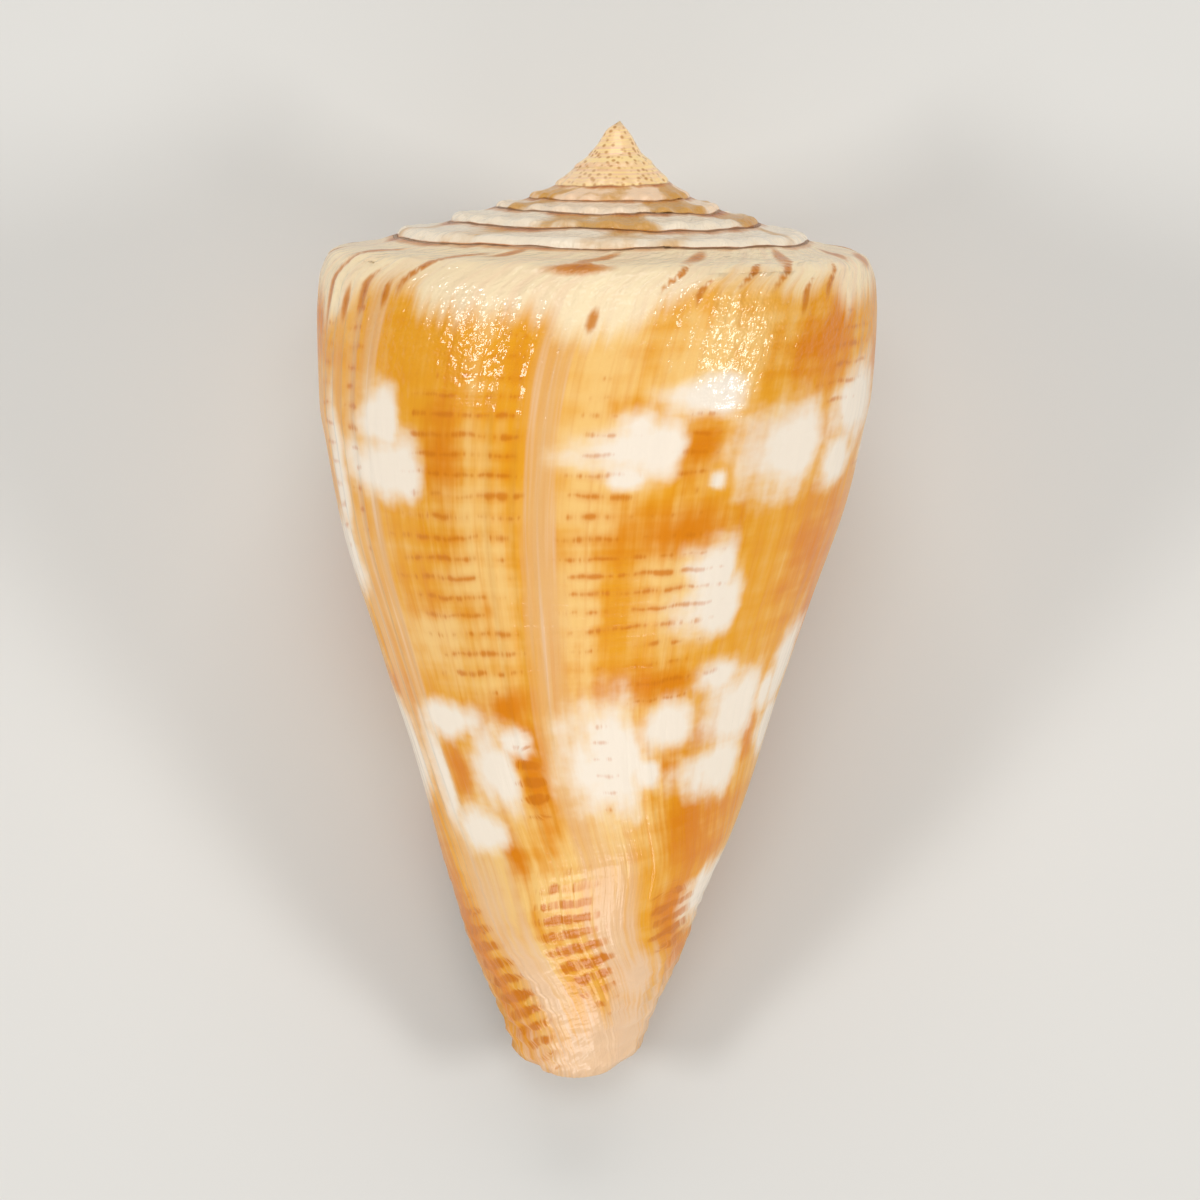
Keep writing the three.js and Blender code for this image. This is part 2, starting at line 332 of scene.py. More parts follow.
# Patches of colour: degrees back from the middle of the back, depth below the
# shoulder, half widths towards the growing edge and away from it, and half height.
# The older side of a patch is its sharp one.
WHITE = (
    (28, 6.1, 10, 5, 0.8), (19, 8.6, 16, 3, 1.2), (13, 7.5, 5, 3, 0.8), (12, 10, 5, 3, 0.5),
    (31, 10.3, 2, 2, 0.4), (52, 9.1, 16, 5, 2.0), (71, 7.4, 10, 12, 1.9), (67, 10.2, 6, 6, 1.3),
    (40, 16.8, 13, 3, 1.5), (37, 14.8, 8, 2.5, 1.4), (-36, 9.6, 20, 3, 1.4), (-41, 7.6, 10, 2, 1.5),
    (-68, 14, 18, 6, 1.7), (-72, 23.3, 22, 10, 2.2), (-43, 21.7, 10, 13, 0.8),
    (-51, 24.6, 6, 2.6, 2.6), (-41, 27.2, 12, 10, 1.0), (-25, 24.4, 9, 4, 2.0), (-17, 22.9, 8, 4, 0.6),
    (13, 24.2, 16, 5, 2.8), (29, 22.9, 9, 6, 1.2), (22, 25.2, 6, 3, 0.7), (55, 22.8, 14, 7, 1.9),
    (43, 20.7, 7, 5, 0.9), (50, 25.9, 18, 8, 1.3), (67, 22.4, 4, 4, 1.1), (75, 21.5, 7, 9, 2.2),
    (78, 25, 8, 9, 1.6), (56, 34, 14, 24, 1.7), (-63, 10, 5, 2.6, 3), (-64, 1, 5, 3, 1.6),
)
DEEP = (
    (-42, 24.3, 6, 6, 1.5), (-14, 24.4, 7, 5, 3.3), (-18, 21.0, 12, 9, 0.9),
    (28, 25, 8, 8, 1.0), (20, 20.6, 14, 14, 1.1), (38, 23.6, 4, 8, 0.9), (62, 24.6, 5, 5, 1.5),
    (-66, 20.3, 10, 10, 1.3), (40, 29, 24, 20, 2.3), (25, 12.6, 16, 14, 1.4),
    (66, 15, 10, 14, 3), (-74, 3.2, 9, 5, 1.4), (-80, 33, 30, 15, 7), (25, 8.8, 4, 4, 1.8),
    (52, 4, 12, 12, 2), (-27, 9, 6, 4, 2), (-61, 22.9, 4, 3, 1.2),
    (-31, 28.6, 3, 4, 1.6), (40, 37.4, 10, 16, 1.6), (30, 33.8, 8, 12, 2.4),
)
PALE = (
    (-17, 15.5, 12, 5, 5.5), (-36, 17.5, 12, 12, 1.8), (3, 9, 4, 10, 5), (2, 17, 4, 5, 7),
    (-22, 31, 8, 22, 3.6), (10, 24.5, 14, 12, 4), (26, 15.5, 10, 10, 3), (-38, 30, 16, 16, 3.4),
    (26, 4, 12, 9, 2.4), (5, 4, 8, 8, 2.6), (-34, 33.5, 5, 6, 3), (4, 28, 8, 8, 3),
)
PEACH_STREAKS = (
    (-5.5, 14, 4, 4.5, 22), (-4, 25, 4.5, 5, 5), (2, 33, 7, 12, 5.6), (-48, 14, 2.5, 2, 40),
    (-54, 9, 4, 2, 12), (-59, 18, 4, 3, 14), (-66, 9, 3, 5, 5), (-50, 30.5, 13, 12, 4),
    (-46, 36, 14, 14, 5), (-20, 41.5, 90, 100, 3.6), (9, 37.5, 14, 18, 2),
)
DASHES = (
    (6, 12.5, 8, 8, 8), (-53, 6.5, 4, 3, 8), (-15, 9, 6, 6, 7), (-26, 8, 12, 8, 4),
    (24, 15.5, 18, 16, 4), (25, 9, 5, 5, 2.6), (-12, 34, 20, 13, 5), (32, 34.6, 14, 16, 2.8),
    (-64, 35.5, 40, 13, 5.5), (7, 24.5, 2.5, 5, 3.4), (-28, 14, 16, 14, 5), (28, 20.5, 18, 14, 1.4),
    (-67, 9.5, 5, 5, 8), (-15, 24.8, 8, 5, 3), (62, 5, 10, 14, 3), (-22, 18.5, 16, 12, 2),
)
BOLD = (
    (-12, 34, 20, 14, 5), (34, 34.6, 14, 16, 3), (-68, 36, 36, 13, 5), (-42, 24.3, 6, 6, 1.5),
    (-15, 25, 5, 4, 1.6),
)
MARKS = (
    (-68.5, 1.6, 2.0, 1.7, 3.0), (-43.5, 0.5, 1.8, 1.6, 1.9), (-11.5, 0.24, 9, 9, 0.5),
    (-14, -1.3, 2.8, 2.4, 2.2), (-54, 1.7, 2.0, 1.8, 1.5), (-43, -0.9, 4, 2.4, 1.4),
    (10, 0.6, 1.3, 1.2, 0.9), (26, 0.4, 1.5, 1.6, 1.0), (35, 0.2, 1.8, 1.5, 1.4),
    (33, -1.6, 3, 3, 2.0), (8, -1.7, 3, 3, 1.8), (74, 0.1, 8, 8, 0.8), (-38, -2, 3, 3, 1.4),
    (-1.5, 2.6, 1.7, 1.4, 0.8), (-47, 1.8, 1.6, 1.4, 0.9), (-60, 2.4, 1.5, 1.4, 1.2),
    (-71, -0.9, 3, 3, 1.5), (60, -1.2, 3, 3, 1.6), (51, 0.9, 1.5, 1.5, 1.2),
    (18, 1.2, 1.3, 1.3, 1.0),
    (44, 1.6, 1.4, 1.4, 1.3),
)
# Lower edge of the cream shoulder, in millimetres down, by degrees from the middle.
SHOULDER_EDGE = (
    (-122, 1.8), (-76, 2.2), (-70, 3.2), (-62, 2.7), (-52, 1.5), (-44, 1.4), (-36, 2.2), (-24, 2.5),
    (-14, 2.6), (-5, 3.6), (6, 3.2), (13, 1.8), (22, 0.8), (32, 0.9), (40, 1.5), (50, 1.2),
    (60, 2.2), (72, 1.7), (90, 1.2), (120, 2.2), (150, 1.3), (190, 2.1), (237, 1.8),
)


def patches(back, down, places):
    """How far inside the nearest of some patches a point is: 1 in the middle, 0 at the edge."""
    inside = np.full(back.shape, -1.0)
    for at, below, newer, older, half in places:
        across = (back - at) / np.where(back < at, newer, older)
        far = np.hypot(across, (down - below) / half)
        inside = np.maximum(inside, 1 - far)
    return inside


def underside(seed, count, depths, widths, heights):
    """Random patches for the side that the shell lies on, near some depths.

    The ranges are of the patches' half widths, in degrees, and half heights.
    """
    random = np.random.default_rng(seed)
    places = []
    for k in range(count):
        back = lerp(*HIDDEN_SIDE, (k + random.uniform(0.1, 0.9)) / count)
        back = back - 360 if back > LIP_DEGREES + 360 else back
        down = random.choice(depths) + random.uniform(-1.6, 1.6)
        wide = random.uniform(*widths)
        places.append((back, down, 1.7 * wide, 0.8 * wide, random.uniform(*heights)))
    return tuple(places)


def paint(stage, row, turn, radius, height):
    """The painted fields of the markings, and the painted shade of the sutures, by name, for every
    point.
    """
    back, down = coordinates(stage, row, turn, radius, height)
    body = smoothstep(-stage, -1.15, -1.05)

    def field(places, *hidden):
        return lerp(-1.0, patches(back, down, places + underside(*hidden)), body)

    white = field(WHITE, 21, 27, (8, 9, 23.5, 25), (4, 8), (0.9, 2.4))
    deep = field(DEEP, 22, 22, (4, 15, 21, 28), (6, 12), (1.2, 3.4))
    pale = field(PALE, 23, 13, (6, 16, 31), (6, 12), (2, 5))
    peach = field(PEACH_STREAKS, 24, 8, (5, 18, 33), (2, 4), (8, 20))
    dashes = field(DASHES, 25, 22, (9, 14, 26, 34), (6, 12), (3, 6))
    bold = field(BOLD, 27, 10, (9, 26, 35), (6, 12), (3, 6))
    marks = field(MARKS, 26, 17, (0.3, 0.8), (1.2, 2.2), (0.7, 1.3))

    # The sutures' grooves are painted darker: painted shade in the groove, partly the reddish-brown
    # line the shell has in places.
    sunk_shade_and_brown = smoothstep(row, SUTURE_ROW - 2, SUTURE_ROW) * (stage > 1) * (row <= SUTURE_ROW)

    # The earlier whorls: cream with brown flames, then tan, then the golden tip.
    early = 1 - body
    flames = wander(stage * 17, 31) + 0.5 * wander(stage * 41 + 0.4 * down, 32) - 0.3
    marks = np.where(early > 0.5, 0.8 * flames + 0.35, marks)
    return {
        "white": white,
        "deep": np.maximum(deep, -0.55),
        "pale": np.maximum(pale, -0.7),
        "peach": peach,
        "dashes": dashes,
        "bold": bold,
        "marks": marks,
        "below_shoulder": down - through(SHOULDER_EDGE, back),
        # painted shade in the sutures' grooves, partly their own reddish-brown
        "suture": np.maximum(smoothstep(-row, -5, -1), sunk_shade_and_brown),
        "early": smoothstep(stage, 2.6, 4.2),
        "golden": smoothstep(stage, 4.6, 5.6),
        "along": BACK_LENGTH * back,
        "spire": smoothstep(stage, 1.0, 1.03) * (row <= SUTURE_ROW),
        "down": down,
    }


# The mesh

class Skin:
    """Collects numbered points with their stage, row, turn, radius, height and side."""

    def __init__(self):
        self.points, self.facts, self.faces = [], [], []
        self.count = 0

    def add(self, points, *facts):
        shape = points.shape[:-1]
        self.points.append(points.reshape(-1, 3))
        self.facts.append(np.stack([np.broadcast_to(f, shape).ravel() for f in facts], -1))
        numbers = self.count + np.arange(int(np.prod(shape))).reshape(shape)
        self.count += numbers.size
        return numbers

    def outside(self, stages, rows, skip=0, lift=True):
        stage, row = np.meshgrid(np.asarray(stages, float), np.asarray(rows, float), indexing="ij")
        turn, radius, height = profile(stage, row)
        points = place(turn, radius, height)
        if lift:
            points = raised(points, relief(stage, row, turn, radius, height))
        inside = smoothstep(stage, 1, 1.06) * (row >= CAVITY_ROW)
        facts = [f[skip:] for f in (stage, row, turn, radius, height, inside)]
        return self.add(points[skip:], *facts)

    def strip(self, left, right):
        """Faces between two lines of the same length. Points they share fold up."""
        for a, b, c, d in zip(left[:-1], left[1:], right[1:], right[:-1]):
            face = [p for p, before in ((a, d), (b, a), (c, b), (d, c)) if p != before]
            self.faces.append(tuple(face))

    def grid(self, columns):
        for left, right in zip(columns[:-1], columns[1:]):
            self.strip(left, right)

    def lace(self, left, left_at, right, right_at):
        """Triangles between two lines whose points are spaced differently."""
        i = j = 0
        while i + 1 < len(left) or j + 1 < len(right):
            if j + 1 == len(right) or (i + 1 < len(left) and left_at[i + 1] <= right_at[j + 1]):
                self.faces.append((left[i], left[i + 1], right[j]))
                i += 1
            else:
                self.faces.append((left[i], right[j + 1], right[j]))
                j += 1

    def fan(self, middle, loop):
        for a, b in zip(loop, [*loop[1:], loop[0]]):
            self.faces.append((middle, a, b))


def build_skin():
    skin = Skin()
    rows = np.arange(LAST_ROW + 1)

    # The last turn, then the earlier whorls down to the suture of the next.
    body_at = np.linspace(0, 1, BODY_COLUMNS + 1)
    body = skin.outside(body_at, rows[1:])
    spire_at = np.concatenate([
        np.linspace(a, b, round((b - a) * n) + 1)[1:] for a, b, n in SPIRE_COLUMNS
    ])
    spire_at = np.concatenate([[1.0], spire_at])
    spire = skin.outside(spire_at, rows[1 : SUTURE_ROW + 1], skip=1)
    spire = np.concatenate([body[-1:, :SUTURE_ROW], spire])
    before = np.concatenate([[-1], body[-1]])
    skin.grid(body)
    skin.grid(spire)

    # Each ramp starts at the suture of the whorl before.
    ramp = np.concatenate([body[:-1, 0], spire[:, 0]])
    ramp_at = np.concatenate([body_at[:-1], spire_at])
    last_ramp = STAGES - 1 + 1e-9
    on_whorl = ramp_at <= last_ramp
    skin.lace(ramp[on_whorl], ramp_at[on_whorl], spire[:, -1], spire_at - 1)

    # The tip, a little off the axis, where it faces the last step.
    facing = LIP_ANGLE + 2 * np.pi * (STAGES + 0.25)
    tip = np.array([[APEX_OFF * math.cos(facing), APEX_OFF * math.sin(facing), 0.0]])
    tip = skin.add(tip, STAGES, 0, STAGES, 0, 0, 0)[0]
    skin.fan(tip, [*ramp[ramp_at >= last_ramp - 2e-9], *spire[-1, 1:]])

    # The cavity's inner side is the whorl before, its outer side the inside of the wall.
    inner_at = np.linspace(0, CAVITY_STAGES, INNER_COLUMNS + 1)
    pillar = skin.outside(1 + inner_at, rows[CAVITY_ROW:], skip=1, lift=False)
    pillar = np.concatenate([before[None, CAVITY_ROW:], pillar])
    inner = inner_wall(skin, inner_at, rows, pillar)
    skin.grid(pillar)
    skin.grid(inner[::-1])

    # The lip's edge, with the root that joins it to the whorl before.
    skin.strip(inner[0, 1:], body[0])
    root = [*before[SUTURE_ROW : CAVITY_ROW + 1], inner[0, 1], body[0, 0]]
    for a, b in zip(root[1:-1], root[2:]):
        skin.faces.append((root[0], a, b))

    # The front edge of the wall round the notch, then the pillar's end.
    notch = inner_at <= NOTCH_STAGES + 1e-9
    body_notch = body_at <= NOTCH_STAGES + 1e-9
    skin.lace(inner[notch, -1], inner_at[notch], body[body_notch, -1], body_at[body_notch])
    beyond = body_at >= NOTCH_STAGES - 1e-9
    end = [*body[beyond, -1], *pillar[notch, -1][1:]]
    middle = np.array([[0, -FRONT_SHIFT, -through(PILLAR_END, 1) - 0.2]])
    skin.fan(skin.add(middle, 1, LAST_ROW, 1, 0, LENGTH, 0)[0], end[::-1])

    # The blind end of the cavity.
    side, wall = pillar[-1], inner[-1]
    points = np.concatenate(skin.points)
    middle = points[wall[[0, CAVITY_ROW, RAMP_ROWS]]].mean(0, keepdims=True)
    middle = skin.add(middle, 2, 0, 2, 0, 0, 1)[0]
    skin.fan(middle, wall[CAVITY_ROW::-1])
    skin.strip(side, wall[CAVITY_ROW:])
    return skin


def inner_wall(skin, stages, rows, pillar):
    """Points of the inside of the outer wall. Its first row is on the pillar."""
    points = np.concatenate(skin.points)
    stage, row = np.meshgrid(stages, rows.astype(float), indexing="ij")
    turn, radius, height = inner_profile(stage, row)
    inner = place(turn, radius, height)
    corner = points[pillar[:, 0]][:, None]
    shoulder = inner[:, RAMP_ROWS : RAMP_ROWS + 1]
    share = np.clip(row / RAMP_ROWS, 0, 1)[..., None]
    inner = np.where(share < 1, lerp(corner, shoulder, share), inner)
    inside = smoothstep(stage, 0, 0.03)
    numbers = skin.add(inner[:, 1:], *[f[:, 1:] for f in (stage, row, turn, radius, height, inside)])
    numbers = np.concatenate([pillar[:, :1], numbers], axis=1)
    closed = stages >= NOTCH_STAGES - 1e-9
    numbers[closed, -1] = pillar[closed, -1]
    return numbers


def lie_down(points):
    """Turns the shell to its attitude at rest and puts it where the CAD part lies."""
    to_world = Matrix.Rotation(REST_PITCH, 3, "X") @ Matrix(((0, 1, 0), (0, 0, 1), (1, 0, 0)))
    points = points @ np.array(to_world).T * MM
    low, high = (np.array(corner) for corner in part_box("cone_shell"))
    middle = (points[:, 0].min() + points[:, 0].max()) / 2
    shift = [(low[0] + high[0]) / 2 - middle, high[1] - points[:, 1].max(), low[2] - points[:, 2].min()]
    return points + np.array(shift)


def make_object(skin):
    points = lie_down(np.concatenate(skin.points))
    mesh = bpy.data.meshes.new("cone_shell_surface")
    mesh.from_pydata(points.tolist(), [], [[int(n) for n in face] for face in skin.faces])
    facts = np.concatenate(skin.facts)
    fields = paint(*facts.T[:5])
    fields["inside"] = facts[:, 5]
    for name, values in fields.items():
        attribute = mesh.attributes.new(name, "FLOAT", "POINT")
        attribute.data.foreach_set("value", np.asarray(values, np.float32))
    mesh.polygons.foreach_set("use_smooth", [True] * len(mesh.polygons))
    mesh.validate()
    shell = bpy.data.objects.new("cone_shell_surface", mesh)
    bpy.context.scene.collection.objects.link(shell)
    return shell


# The glaze

def colour(code):
    """Linear colour for a web colour."""
    parts = [int(code[i : i + 2], 16) / 255 for i in (0, 2, 4)]
    linear = [c / 12.92 if c < 0.04045 else ((c + 0.055) / 1.055) ** 2.4 for c in parts]
    return (*linear, 1)


WHITE_GLAZE = colour("F5E7D4")
CREAM = colour("F8E2B8")
ORANGE = colour("E9A01C")
DEEP_ORANGE = colour("DC8000")
GOLDEN = colour("F3C476")
PEACH = colour("E5B274")
ROSE = colour("EECBA8")
PALE_ROSE = colour("F2DAC4")
DASH = colour("CE7400")
AMBER = colour("CC7A10")
BROWN = colour("A85204")
OLIVE_TAN = colour("D09638")
TAN = colour("F6CBA0")
GOLD_TIP = colour("FFDE9C")
# Painted shade in the tip's pits, with their brown.
PIT_SHADE_AND_BROWN = colour("B87830")

DASH_ROWS = 1.06  # for each millimetre down
PIT_SPACING = 0.27
BUMP_HEIGHT = 0.05
ROUGHNESS = 0.34
SPECULAR = 0.2
COAT = 0.45
COAT_ROUGHNESS = 0.1
REFRACTION = 1.42


class Glaze:
    """A node material in the shell's own coordinates, written as nested calls."""

    def __init__(self, name):
        self.material = bpy.data.materials.new(name)
        self.material.use_nodes = True
        self.tree = self.material.node_tree
        self.shader = self.tree.nodes["Principled BSDF"]
        self.along, self.down = self.field("along"), self.field("down")

    def put(self, socket, value):
        if isinstance(value, bpy.types.NodeSocket):
            self.tree.links.new(value, socket)
        else:
            socket.default_value = value

    def finish(self, **settings):
        """Sets the shader's inputs, by their names with underscores."""
        for name, value in settings.items():
            self.put(self.shader.inputs[name.replace("_", " ")], value)

    def field(self, name):
        node = self.tree.nodes.new("ShaderNodeAttribute")
        node.attribute_name = name
        return node.outputs["Fac"]

    def math(self, operation, *values):
        node = self.tree.nodes.new("ShaderNodeMath")
        node.operation = operation
        for socket, value in zip(node.inputs, values):
            self.put(socket, value)
        return node.outputs[0]

    def add(self, *values):
        total = values[0]
        for value in values[1:]:
            total = self.math("ADD", total, value)
        return total

    def times(self, *values):
        total = values[0]
        for value in values[1:]:
            total = self.math("MULTIPLY", total, value)
        return total

    def less(self, value):
        """One less a value."""
        return self.math("SUBTRACT", 1.0, value)

    def fade(self, value, low, high):
        """A smooth step from 0 at low to 1 at high, either way round."""
        node = self.tree.nodes.new("ShaderNodeMapRange")
        node.interpolation_type = "SMOOTHSTEP"
        for name, setting in (("Value", value), ("From Min", low), ("From Max", high)):
            self.put(node.inputs[name], setting)
        return node.outputs[0]

    def noise_at(self, x, y, seed, detail=2.0, roughness=0.5):
        """Noise between about -0.5 and 0.5 that changes once per unit of x and y."""
        place = self.tree.nodes.new("ShaderNodeCombineXYZ")
        for socket, value in zip(place.inputs, (x, y, seed)):
            self.put(socket, value)
        node = self.tree.nodes.new("ShaderNodeTexNoise")
        self.put(node.inputs["Vector"], place.outputs[0])
        node.inputs["Scale"].default_value = 1.0
        node.inputs["Detail"].default_value = detail
        node.inputs["Roughness"].default_value = roughness
        return self.math("SUBTRACT", node.outputs["Fac"], 0.5)

    def noise(self, width, tall, seed, detail=2.0, roughness=0.5):
        """Noise by its size along the spiral and down the wall, in millimetres."""
        x, y = self.times(self.along, 1 / width), self.times(self.down, 1 / tall)
        return self.noise_at(x, y, seed, detail, roughness)

    def pit_shade(self, spacing):
        """Small scattered dots in space, about so many millimetres apart: the painted shade of the
        tip's pits.
        """
        place = self.tree.nodes.new("ShaderNodeTexCoord")
        node = self.tree.nodes.new("ShaderNodeTexVoronoi")
        node.inputs["Scale"].default_value = 1 / (spacing * MM)
        self.put(node.inputs["Vector"], place.outputs["Object"])
        return self.less(self.fade(node.outputs["Distance"], 0.15, 0.5))

    def mix(self, amount, below, above):
        node = self.tree.nodes.new("ShaderNodeMix")
        node.data_type = "RGBA"
        for name, value in (("Factor_Float", amount), ("A_Color", below), ("B_Color", above)):
            socket = next(s for s in node.inputs if s.identifier == name)
            self.put(socket, value)
        return next(s for s in node.outputs if s.identifier == "Result_Color")


def paint_ground(g, streaks, broad):
    """Orange in axial streaks and spiral bands."""
    bands = g.noise(16, 0.9, 2.0)
    cloud = g.noise(5, 3, 3.0)
    mottle = g.noise(1.3, 2.0, 19.0)
    tone = g.add(streaks, broad, g.times(bands, 0.65), cloud, g.times(mottle, 0.9))
    deep = g.fade(g.add(g.field("deep"), g.times(tone, 1.5)), -0.75, 1.0)
    pale = g.fade(g.add(g.field("pale"), g.times(tone, -1.7)), -0.8, 0.9)
    return g.mix(deep, g.mix(pale, ORANGE, GOLDEN), DEEP_ORANGE)


def paint_pauses(g, ground, thin):
    """Peach growth pauses, and fine streaks that end towards the front."""
    peach = g.times(g.fade(g.add(g.field("peach"), g.times(thin, 1.7)), -0.5, 0.7), 0.85)
    ground = g.mix(peach, ground, g.mix(g.fade(g.down, 26.0, 38.0), PEACH, ROSE))
    fine = g.times(g.noise(0.35, 16, 20.0, 2.0, 0.6), g.fade(g.down, 36.0, 26.0))
    ground = g.mix(g.times(peach, g.fade(fine, 0.0, 0.2), 0.4), ground, PALE_ROSE)
    return g.mix(g.times(g.fade(fine, 0.0, -0.25), 0.25), ground, DEEP_ORANGE)


def paint_dashes(g, ground):
    """Rows along the spiral: the ground with their smears, and the dashes to lay over it."""
    sway = g.add(g.times(g.noise(1.5, 2.4, 4.0), 0.55), g.times(g.noise(40, 6, 5.0), 0.9))
    row_at = g.add(g.times(g.down, DASH_ROWS), sway)
    row = g.math("FLOOR", row_at)
    off = g.math("ABSOLUTE", g.math("SUBTRACT", g.math("SUBTRACT", row_at, row), 0.5))

    bold = g.fade(g.field("bold"), -0.4, 0.4)
    strength = g.fade(g.field("dashes"), -0.35, 0.8)
    pace = g.add(1.5, g.times(bold, -0.7))
    broken = g.noise_at(g.times(g.along, pace), g.times(row, 7.31), 6.0, 3.0, 0.7)
    present = g.add(broken, g.times(strength, 0.22), g.times(bold, 0.05), -0.12)

    uneven = g.times(g.noise(1.1, 1.1, 7.0), 0.2)
    thick = g.add(g.times(bold, 0.17), uneven, g.times(present, 0.35), 0.01)
    line = g.less(g.fade(g.math("SUBTRACT", off, thick), -0.06, 0.15))
    dash = g.times(g.fade(present, -0.05, 0.16), line, g.fade(strength, 0.02, 0.3))
    dash = g.times(dash, g.add(0.8, g.times(bold, 0.2)))
    smear = g.times(g.fade(present, -0.2, 0.2), g.less(g.fade(off, 0.02, 0.42)), strength)
    return g.mix(g.times(smear, 0.45), ground, DEEP_ORANGE), dash


def paint_white(g, ground, dash, thin, flame):
    """White patches, the cream shoulder, the white spire, and the dashes over them."""
    whiteness = g.add(g.field("white"), flame)
    white = g.fade(whiteness, -0.42, 0.46)
    ground = g.mix(g.times(g.fade(whiteness, -0.7, -0.05), 0.4), ground, CREAM)
    tongues = g.times(g.noise(0.8, 30, 10.0, 3.0, 0.65), 2.6)
    tongues = g.add(tongues, g.times(g.noise(4, 30, 11.0), 2.0))
    shoulder = g.less(g.fade(g.add(g.field("below_shoulder"), tongues), -1.0, 0.8))

    look = g.mix(white, ground, WHITE_GLAZE)
    spire = g.field("spire")
    high = g.mix(g.fade(g.add(thin, g.times(spire, -0.5)), -0.3, 0.6), CREAM, ROSE)
    look = g.mix(shoulder, look, g.mix(g.times(spire, 0.7), high, WHITE_GLAZE))
    shown = g.times(g.less(g.times(shoulder, 0.75)), g.less(g.times(white, 0.45)), 0.9)
    return g.mix(g.times(dash, shown), look, DASH)


def paint_marks(g, look, flame):
    """Brown marks at the shoulder, flames on the earlier whorls, and sutures painted amber and brown:
    painted shade in their grooves, partly their own reddish-brown.
    """
    spire = g.field("spire")
    inked = g.add(g.field("marks"), g.times(flame, g.add(0.18, g.times(spire, 0.4))))
    look = g.mix(g.times(g.field("early"), 0.75), look, TAN)
    look = g.mix(g.times(g.fade(inked, 0.0, 0.6), 0.9), look, g.mix(spire, AMBER, OLIVE_TAN))
    dark = g.times(g.fade(inked, 0.55, 1.2), g.less(g.times(spire, 0.8)), 0.9)
    look = g.mix(dark, look, BROWN)
    # Amber and brown along the sutures: painted shade in their grooves, partly the shell's own
    # reddish-brown line.
    uneven = g.times(g.noise_at(g.times(g.along, 0.25), 0.5, 16.0, 3.0), 2.2)
    seam_shade_and_brown = g.add(g.field("suture"), uneven)
    look = g.mix(g.times(g.fade(seam_shade_and_brown, 0.4, 1.0), 0.7), look, AMBER)
    return g.mix(g.times(g.fade(seam_shade_and_brown, 0.85, 1.3), 0.8), look, BROWN)


def paint_tip(g, look):
    """The golden tip, finely pitted: its pits painted as darker dots, painted shade with their own
    brown.
    """
    tip = g.mix(g.fade(g.noise(60, 1.2, 17.0), -0.12, 0.12), TAN, GOLD_TIP)
    # Darker dots: painted shade in the tip's pits, with their brown.
    tip = g.mix(g.times(g.pit_shade(PIT_SPACING), 0.75), tip, PIT_SHADE_AND_BROWN)
    return g.mix(g.field("golden"), look, tip)


def fine_bumps(g):
    """Growth threads crossed by spiral scratches, and dimples near the shoulder."""
    front = g.fade(g.down, 31.0, 38.0)
    threads = g.times(g.noise(0.5, 4, 14.0), g.less(g.times(front, 0.6)))
    scratches = g.times(g.noise(3, 0.45, 15.0), g.add(0.45, g.times(front, 0.9)))
    dimples = g.times(g.noise(0.5, 0.6, 18.0), g.fade(g.down, 8.0, 3.0), 2.8)
    calm = g.times(g.less(g.times(g.field("early"), 0.7)), g.less(g.field("golden")))
    node = g.tree.nodes.new("ShaderNodeBump")
    node.inputs["Strength"].default_value = 1.0
    node.inputs["Distance"].default_value = BUMP_HEIGHT * MM
    g.put(node.inputs["Height"], g.times(g.add(threads, scratches, dimples), calm))
    return node.outputs["Normal"]


def glaze():
    g = Glaze("shell_glaze")
    streaks = g.noise(0.7, 14, 1.0, 3.0, 0.6)
    broad = g.noise(3.5, 16, 1.5)
    thin = g.add(g.times(streaks, 1.3), g.times(broad, 0.6))
    flame = g.times(g.noise(0.8, 2.6, 8.0), 0.7)
    flame = g.add(flame, g.times(g.noise(2.4, 1.6, 9.0, 3.0), 1.3))

    ground = paint_pauses(g, paint_ground(g, streaks, broad), thin)
    ground, dash = paint_dashes(g, ground)
    look = paint_white(g, ground, dash, thin, flame)
    look = paint_tip(g, paint_marks(g, look, flame))
    porcelain = g.mix(g.field("inside"), look, WHITE_GLAZE)

    bumps = fine_bumps(g)
    roughness = g.add(ROUGHNESS, g.times(g.noise(2, 2, 13.0), 0.16))
    g.finish(Base_Color=porcelain, Roughness=roughness, Normal=bumps, Coat_Normal=bumps)
    g.finish(Specular_IOR_Level=SPECULAR, IOR=REFRACTION)
    g.finish(Coat_Weight=COAT, Coat_Roughness=COAT_ROUGHNESS)
    return g.material


# The studio

FLOOR_HALF = 0.6
FLOOR_COLOUR = colour("DAD8D3")
WORLD_STRENGTH = 0.24
LIT_POINT = (0, 0, 0.012)
# Name, place, size in metres, and power in watts.
LIGHTS = (
    ("left_light", (-0.268, -0.05, 0.225), (0.09, 0.06), 0.42),
    ("right_light", (0.276, -0.05, 0.215), (0.09, 0.06), 0.42),
    ("far_light", (0, 0.55, 0.42), (0.5, 0.3), 1.5),
    ("near_light", (0, -0.62, 0.15), (0.5, 0.2), 1.6),
    ("high_light", (0, 0.1, 0.5), (0.3, 0.15), 0.45),
)


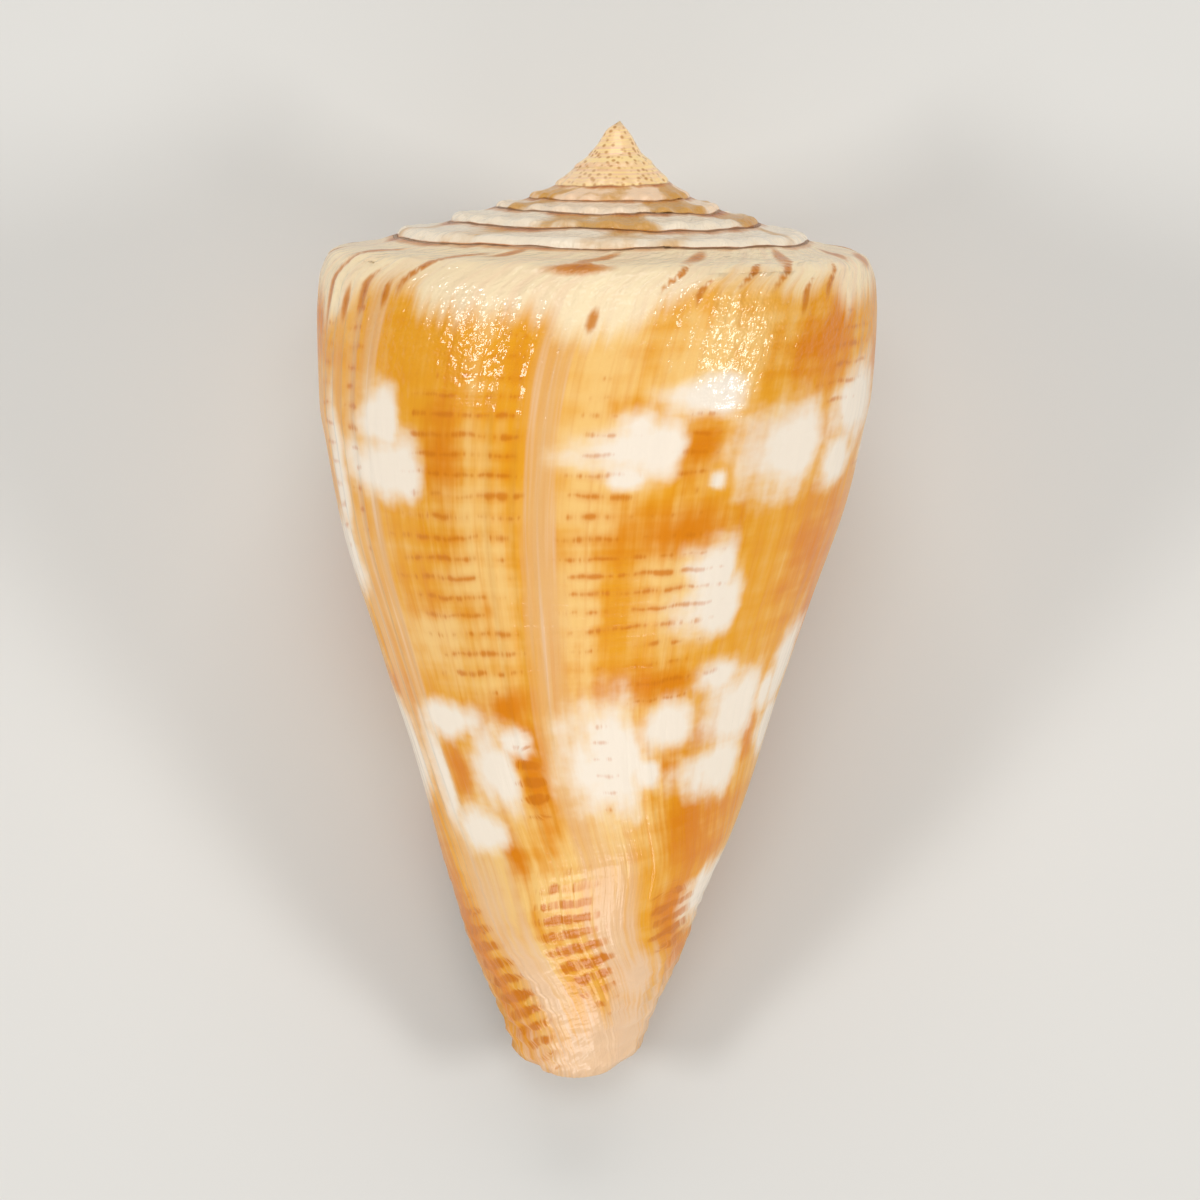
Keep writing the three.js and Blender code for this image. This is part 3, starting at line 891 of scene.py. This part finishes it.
def make_floor():
    mesh = bpy.data.meshes.new("studio_floor")
    corners = [(x * FLOOR_HALF, y * FLOOR_HALF, 0) for x, y in ((-1, -1), (1, -1), (1, 1), (-1, 1))]
    mesh.from_pydata(corners, [], [(0, 1, 2, 3)])
    floor = bpy.data.objects.new("studio_floor", mesh)
    material = bpy.data.materials.new("pale_floor")
    material.use_nodes = True
    shader = material.node_tree.nodes["Principled BSDF"]
    shader.inputs["Base Color"].default_value = FLOOR_COLOUR
    shader.inputs["Roughness"].default_value = 0.8
    mesh.materials.append(material)
    bpy.context.scene.collection.objects.link(floor)


def add_light(name, place, size, power):
    light = bpy.data.lights.new(name, "AREA")
    light.shape = "RECTANGLE"
    light.size, light.size_y = size
    light.energy = power
    lamp = bpy.data.objects.new(name, light)
    lamp.location = place
    aim = Vector(LIT_POINT) - Vector(place)
    lamp.rotation_euler = aim.to_track_quat("-Z", "Y").to_euler()
    bpy.context.scene.collection.objects.link(lamp)


def light_studio():
    world = bpy.data.worlds.new("studio")
    world.use_nodes = True
    background = world.node_tree.nodes["Background"]
    background.inputs["Color"].default_value = (1, 1, 1, 1)
    background.inputs["Strength"].default_value = WORLD_STRENGTH
    bpy.context.scene.world = world
    for name, place, size, power in LIGHTS:
        add_light(name, place, size, power)
    bpy.context.scene.view_settings.view_transform = "Standard"


ELEVATION = math.radians(83.4)
DISTANCE = 0.154
TARGET = Vector((0.0004, 0, 0.012))
ROLL = math.radians(0.9)
FOCAL_LENGTH = 100


def make_camera():
    data = bpy.data.cameras.new("camera")
    data.lens = FOCAL_LENGTH
    data.sensor_width = 36
    camera = bpy.data.objects.new("camera", data)
    away = Vector((0, -math.cos(ELEVATION), math.sin(ELEVATION)))
    tilt = Matrix.Rotation(math.pi / 2 - ELEVATION, 4, "X")
    roll = Matrix.Rotation(ROLL, 4, "Z")
    camera.matrix_world = Matrix.Translation(TARGET + away * DISTANCE) @ tilt @ roll
    bpy.context.scene.collection.objects.link(camera)
    bpy.context.scene.camera = camera


shell = make_object(build_skin())
shell.data.materials.append(glaze())
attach(shell, "root")
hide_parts("cone_shell")

make_floor()
light_studio()
make_camera()
